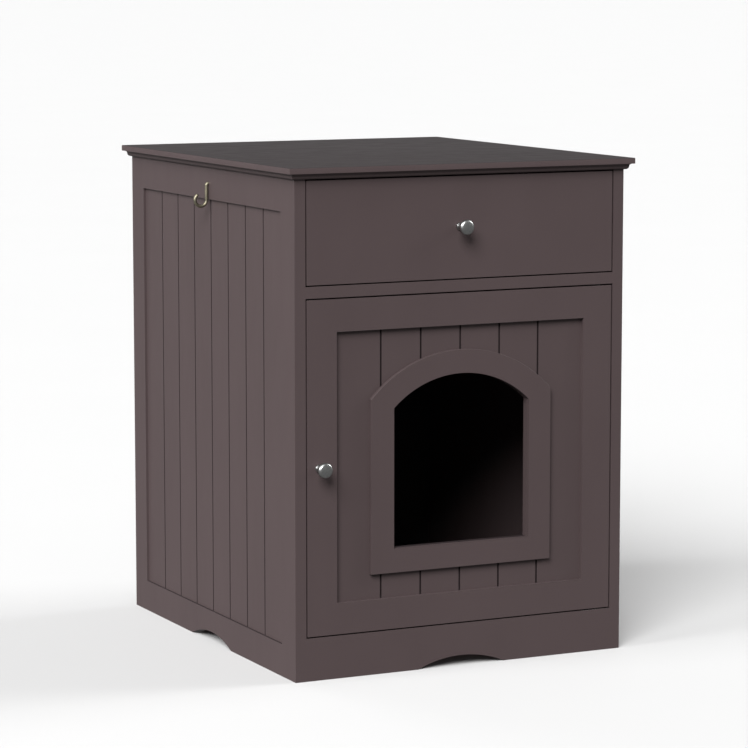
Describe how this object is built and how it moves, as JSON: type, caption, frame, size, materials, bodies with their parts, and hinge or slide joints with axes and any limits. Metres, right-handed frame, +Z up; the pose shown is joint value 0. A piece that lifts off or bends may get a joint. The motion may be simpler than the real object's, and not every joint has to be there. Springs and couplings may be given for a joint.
{
  "type": "litter box enclosure",
  "caption": "Freestanding side-table cabinet that hides a cat litter tray, with a drawer over a hinged panelled door with an arched doorway.",
  "frame": {"origin": "on the floor, under the middle of the whole object with its top, knobs and scoop hook", "axes": "+Z up, +Y from the door towards the back, +X to the right seen from the front"},
  "size_m": [0.534, 0.613, 0.69],
  "materials": {
    "painted_board": "satin grey-brown paint on smooth fibreboard",
    "thin_board": "matt grey-brown paint on thin hardboard",
    "drawer_board": "matt grey-brown paint on fibreboard",
    "cam_alloy": "die-cast zinc alloy",
    "zinc_steel": "bright zinc-plated steel",
    "slide_enamel": "white epoxy-coated pressed steel",
    "nylon": "milky nylon",
    "dark_plastic": "matt dark moulded plastic",
    "beech": "bare beech",
    "knob_nickel": "satin nickel plate",
    "hook_brass": "pale antique brass plate"
  },
  "bodies": {
    "cabinet": {"top_panel": "painted_board", "left_side_panel": "painted_board", "right_side_panel": "painted_board", "bottom_panel": "painted_board", "divider_shelf": "painted_board", "front_plinth": "painted_board", "rear_plinth": "painted_board", "rear_top_rail": "painted_board", "back_panel": "thin_board", "cam_locks": "cam_alloy", "cam_bolts": "zinc_steel", "wood_dowels": "beech", "left_cabinet_slide": "slide_enamel", "right_cabinet_slide": "slide_enamel", "cabinet_slide_screws": "zinc_steel", "upper_hinge_frame_leaf": "zinc_steel", "lower_hinge_frame_leaf": "zinc_steel", "hinge_washers": "dark_plastic", "hinge_frame_screws": "zinc_steel", "magnetic_catch": "dark_plastic", "catch_pole_plates": "zinc_steel", "catch_screws": "zinc_steel", "scoop_hook": "hook_brass"},
    "drawer": {"drawer_front": "painted_board", "drawer_left_side": "drawer_board", "drawer_right_side": "drawer_board", "drawer_back": "drawer_board", "drawer_bottom": "thin_board", "drawer_cam_locks": "cam_alloy", "drawer_cam_bolts": "zinc_steel", "drawer_box_screws": "zinc_steel", "left_drawer_slide": "slide_enamel", "right_drawer_slide": "slide_enamel", "drawer_slide_screws": "zinc_steel", "drawer_knob": "knob_nickel", "drawer_knob_screw": "zinc_steel"},
    "door": {"door_left_stile": "painted_board", "door_right_stile": "painted_board", "door_top_rail": "painted_board", "door_bottom_rail": "painted_board", "door_field_panel": "painted_board", "arch_surround": "painted_board", "door_knob": "knob_nickel", "door_knob_screw": "zinc_steel", "upper_hinge_door_leaf": "zinc_steel", "lower_hinge_door_leaf": "zinc_steel", "hinge_door_screws": "zinc_steel", "strike_plate": "zinc_steel", "strike_screw": "zinc_steel"},
    "left_cabinet_roller": {"left_cabinet_roller": "nylon"},
    "right_cabinet_roller": {"right_cabinet_roller": "nylon"},
    "left_drawer_roller": {"left_drawer_roller": "nylon"},
    "right_drawer_roller": {"right_drawer_roller": "nylon"}
  },
  "joints": [
    {"name": "drawer_slide", "type": "slide", "parent": "cabinet", "child": "drawer", "axis": [0, -1, 0], "range_m": [0, 0.33]},
    {"name": "door_swing", "type": "hinge", "parent": "cabinet", "child": "door", "pos_m": [0.21975, -0.27495, 0.28725], "axis": [0, 0, 1], "range_deg": [0, 110]},
    {"name": "left_cabinet_roller_spin", "type": "hinge", "parent": "cabinet", "child": "left_cabinet_roller", "pos_m": [-0.22325, -0.25145, 0.5527], "axis": [1, 0, 0], "range_deg": [0, 1891]},
    {"name": "right_cabinet_roller_spin", "type": "hinge", "parent": "cabinet", "child": "right_cabinet_roller", "pos_m": [0.23435, -0.25145, 0.5527], "axis": [1, 0, 0], "range_deg": [0, 1891]},
    {"name": "left_drawer_roller_spin", "type": "hinge", "parent": "drawer", "child": "left_drawer_roller", "pos_m": [-0.22115, 0.17055, 0.5522], "axis": [1, 0, 0], "range_deg": [0, 1891]},
    {"name": "right_drawer_roller_spin", "type": "hinge", "parent": "drawer", "child": "right_drawer_roller", "pos_m": [0.23225, 0.17055, 0.5522], "axis": [1, 0, 0], "range_deg": [0, 1891]}
  ],
  "couplings": [
    {"joint": "left_cabinet_roller_spin", "follows": "drawer_slide", "rad_per_m": 100},
    {"joint": "right_cabinet_roller_spin", "follows": "drawer_slide", "rad_per_m": 100},
    {"joint": "left_drawer_roller_spin", "follows": "drawer_slide", "rad_per_m": 100},
    {"joint": "right_drawer_roller_spin", "follows": "drawer_slide", "rad_per_m": 100}
  ]
}
